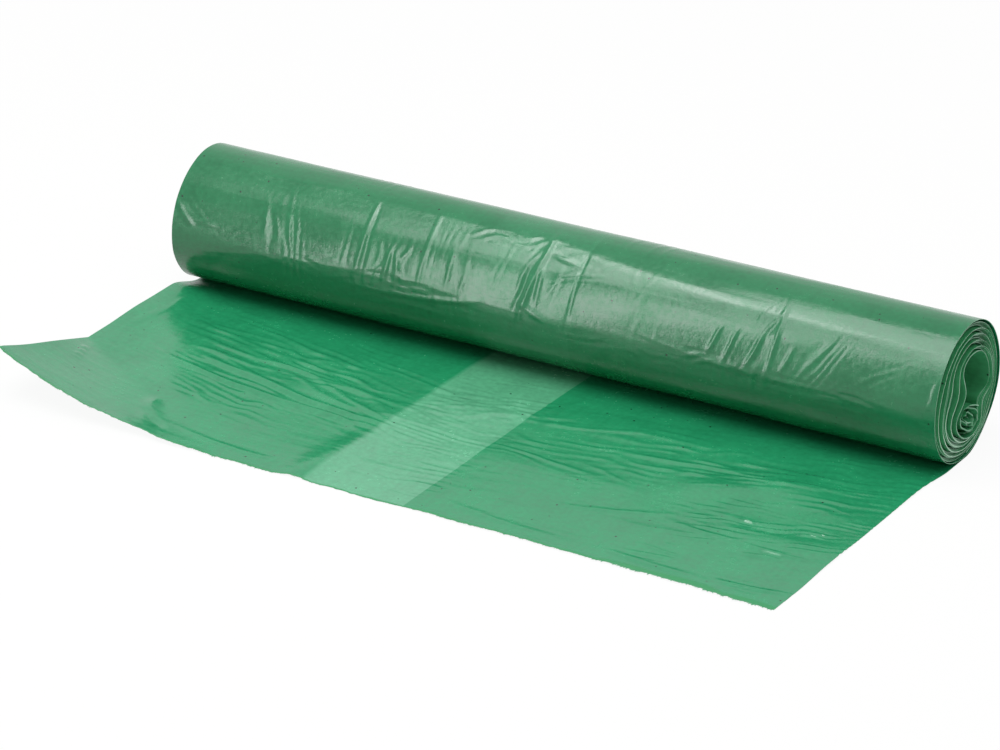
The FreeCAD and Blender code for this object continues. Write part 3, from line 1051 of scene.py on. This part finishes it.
class Stage(bpy.types.Operator):
    """A pale floor, a plain backdrop, soft studio light and the camera"""

    bl_idname = "bag_roll.stage"
    bl_label = "Stage"

    def execute(self, context):
        look = context.scene.bag_stage
        floor_mesh = bpy.data.meshes.new("floor")
        signs = ((-1, -1), (1, -1), (1, 1), (-1, 1))
        corners = [(FLOOR_REACH * across, FLOOR_REACH * back, 0) for across, back in signs]
        floor_mesh.from_pydata(corners, [], [(0, 1, 2, 3)])
        floor_mesh.materials.append(floor_material(look))
        floor = in_scene("floor", floor_mesh)
        backdrop(context.scene, look)
        soft_lamp("top_lamp", look.top_power, TOP_LAMP_PLACE, TOP_LAMP_SIZE)
        for name, place, size, along, glow in GLOSS_PANELS:
            power = look.panel_glow * glow * math.pi * size[0] * size[1]
            soft_lamp(name, power, place, size, along).visible_diffuse = False
        studio_camera(context.scene)
        context.scene.view_settings.view_transform = "Standard"
        return {"FINISHED"}


def seen_directly(tree):
    """1 for rays from the camera and for what gloss and clear plastic show, else 0."""
    path = add(tree, "ShaderNodeLightPath").outputs
    seen = add(tree, "ShaderNodeMath", {0: path["Is Camera Ray"], 1: path["Is Glossy Ray"]},
               operation="MAXIMUM")
    return add(tree, "ShaderNodeMath", {0: seen, 1: path["Is Transmission Ray"]}, operation="MAXIMUM")


def floor_material(look):
    """Matt white studio board, which keeps a soft shadow and is otherwise as white as the backdrop."""
    material, tree = new_material("Studio_board")
    matt = add(tree, "ShaderNodeBsdfDiffuse", {"Color": (*look.floor, 1)})
    white = add(tree, "ShaderNodeEmission", {"Strength": 1.0})
    share = add(tree, "ShaderNodeMath", {0: seen_directly(tree), 1: 0.93}, operation="MULTIPLY")
    mixed = add(tree, "ShaderNodeMixShader", {0: share, 1: matt, 2: white})
    add(tree, "ShaderNodeOutputMaterial", {"Surface": mixed})
    return material


def backdrop(scene, look):
    """A white backdrop, and the light of a room, which comes more from overhead than from the sides."""
    world = bpy.data.worlds.new("Studio")
    scene.world = world
    world.use_nodes = True
    tree = world.node_tree
    tree.nodes.clear()
    direction = add(tree, "ShaderNodeTexCoord").outputs["Generated"]
    upward = add(tree, "ShaderNodeSeparateXYZ", {0: direction}).outputs["Z"]
    dome = add(tree, "ShaderNodeMapRange",
               {"Value": upward, "To Min": 0.2 * look.ambient, "To Max": 1.7 * look.ambient})
    level = add(tree, "ShaderNodeMix", {"Factor": seen_directly(tree), "A": dome, "B": 1.0},
                data_type="FLOAT")
    light = add(tree, "ShaderNodeBackground", {"Strength": level})
    add(tree, "ShaderNodeOutputWorld", {"Surface": light})


def standing(place, back, along):
    """The matrix of a lamp or camera at a place, its back to one direction and its top towards another."""
    back, up = Vector(back).normalized(), Vector(along)
    up = (up - back * up.dot(back)).normalized()
    return Matrix.Translation(place) @ Matrix((up.cross(back), up, back)).transposed().to_4x4()


def soft_lamp(name, power, place, size, along=(0, 0, 1)):
    """A rectangular soft lamp that faces the roll, with its second size along a direction."""
    lamp = bpy.data.lights.new(name, "AREA")
    lamp.shape = "RECTANGLE"
    lamp.energy = power
    lamp.size, lamp.size_y = size
    made = in_scene(name, lamp)
    made.matrix_world = standing(place, Vector(place) - Vector((0, 0, MIDDLE_HEIGHT)), along)
    return made


def studio_camera(scene):
    camera = bpy.data.cameras.new("camera")
    camera.lens = CAMERA_LENS
    camera.sensor_fit = "HORIZONTAL"
    camera.sensor_width = 36
    camera.clip_start = 0.05
    camera.clip_end = 50
    turn, rise = math.radians(CAMERA_AZIMUTH), math.radians(CAMERA_ELEVATION)
    back = (math.sin(turn) * math.cos(rise), -math.cos(turn) * math.cos(rise), math.sin(rise))
    made = in_scene("camera", camera)
    made.matrix_world = standing(CAMERA_PLACE, back, (0, 0, 1))
    scene.camera = made


class BagRollPanel(bpy.types.Panel):
    """Sizes, colours and pieces of the roll"""

    bl_idname = "VIEW3D_PT_bag_roll"
    bl_label = "Bag roll"
    bl_space_type = "VIEW_3D"
    bl_region_type = "UI"
    bl_category = "Bag roll"

    def draw(self, context):
        for group in (context.scene.bag_web, context.scene.bag_film, context.scene.bag_stage):
            box = self.layout.box()
            for name in group.__annotations__:
                box.prop(group, name)
        for operator in PIECES:
            self.layout.operator(operator.bl_idname)


PIECES = (Stage, DrawnOutEnd, TornEdge, OutermostTurn, WoundTurns, WebBeginning)
GROUPS = {"bag_web": WebSizes, "bag_film": FilmLook, "bag_stage": StageLook}


def register():
    for name, group in GROUPS.items():
        bpy.utils.register_class(group)
        setattr(bpy.types.Scene, name, bpy.props.PointerProperty(type=group))
    for shown in (*PIECES, BagRollPanel):
        bpy.utils.register_class(shown)


def unregister():
    for shown in reversed((*PIECES, BagRollPanel)):
        bpy.utils.unregister_class(shown)
    for name, group in GROUPS.items():
        delattr(bpy.types.Scene, name)
        bpy.utils.unregister_class(group)


def main():
    register()
    for operator in PIECES:
        group, name = operator.bl_idname.split(".")
        getattr(getattr(bpy.ops, group), name)()


if __name__ == "__main__":
    main()
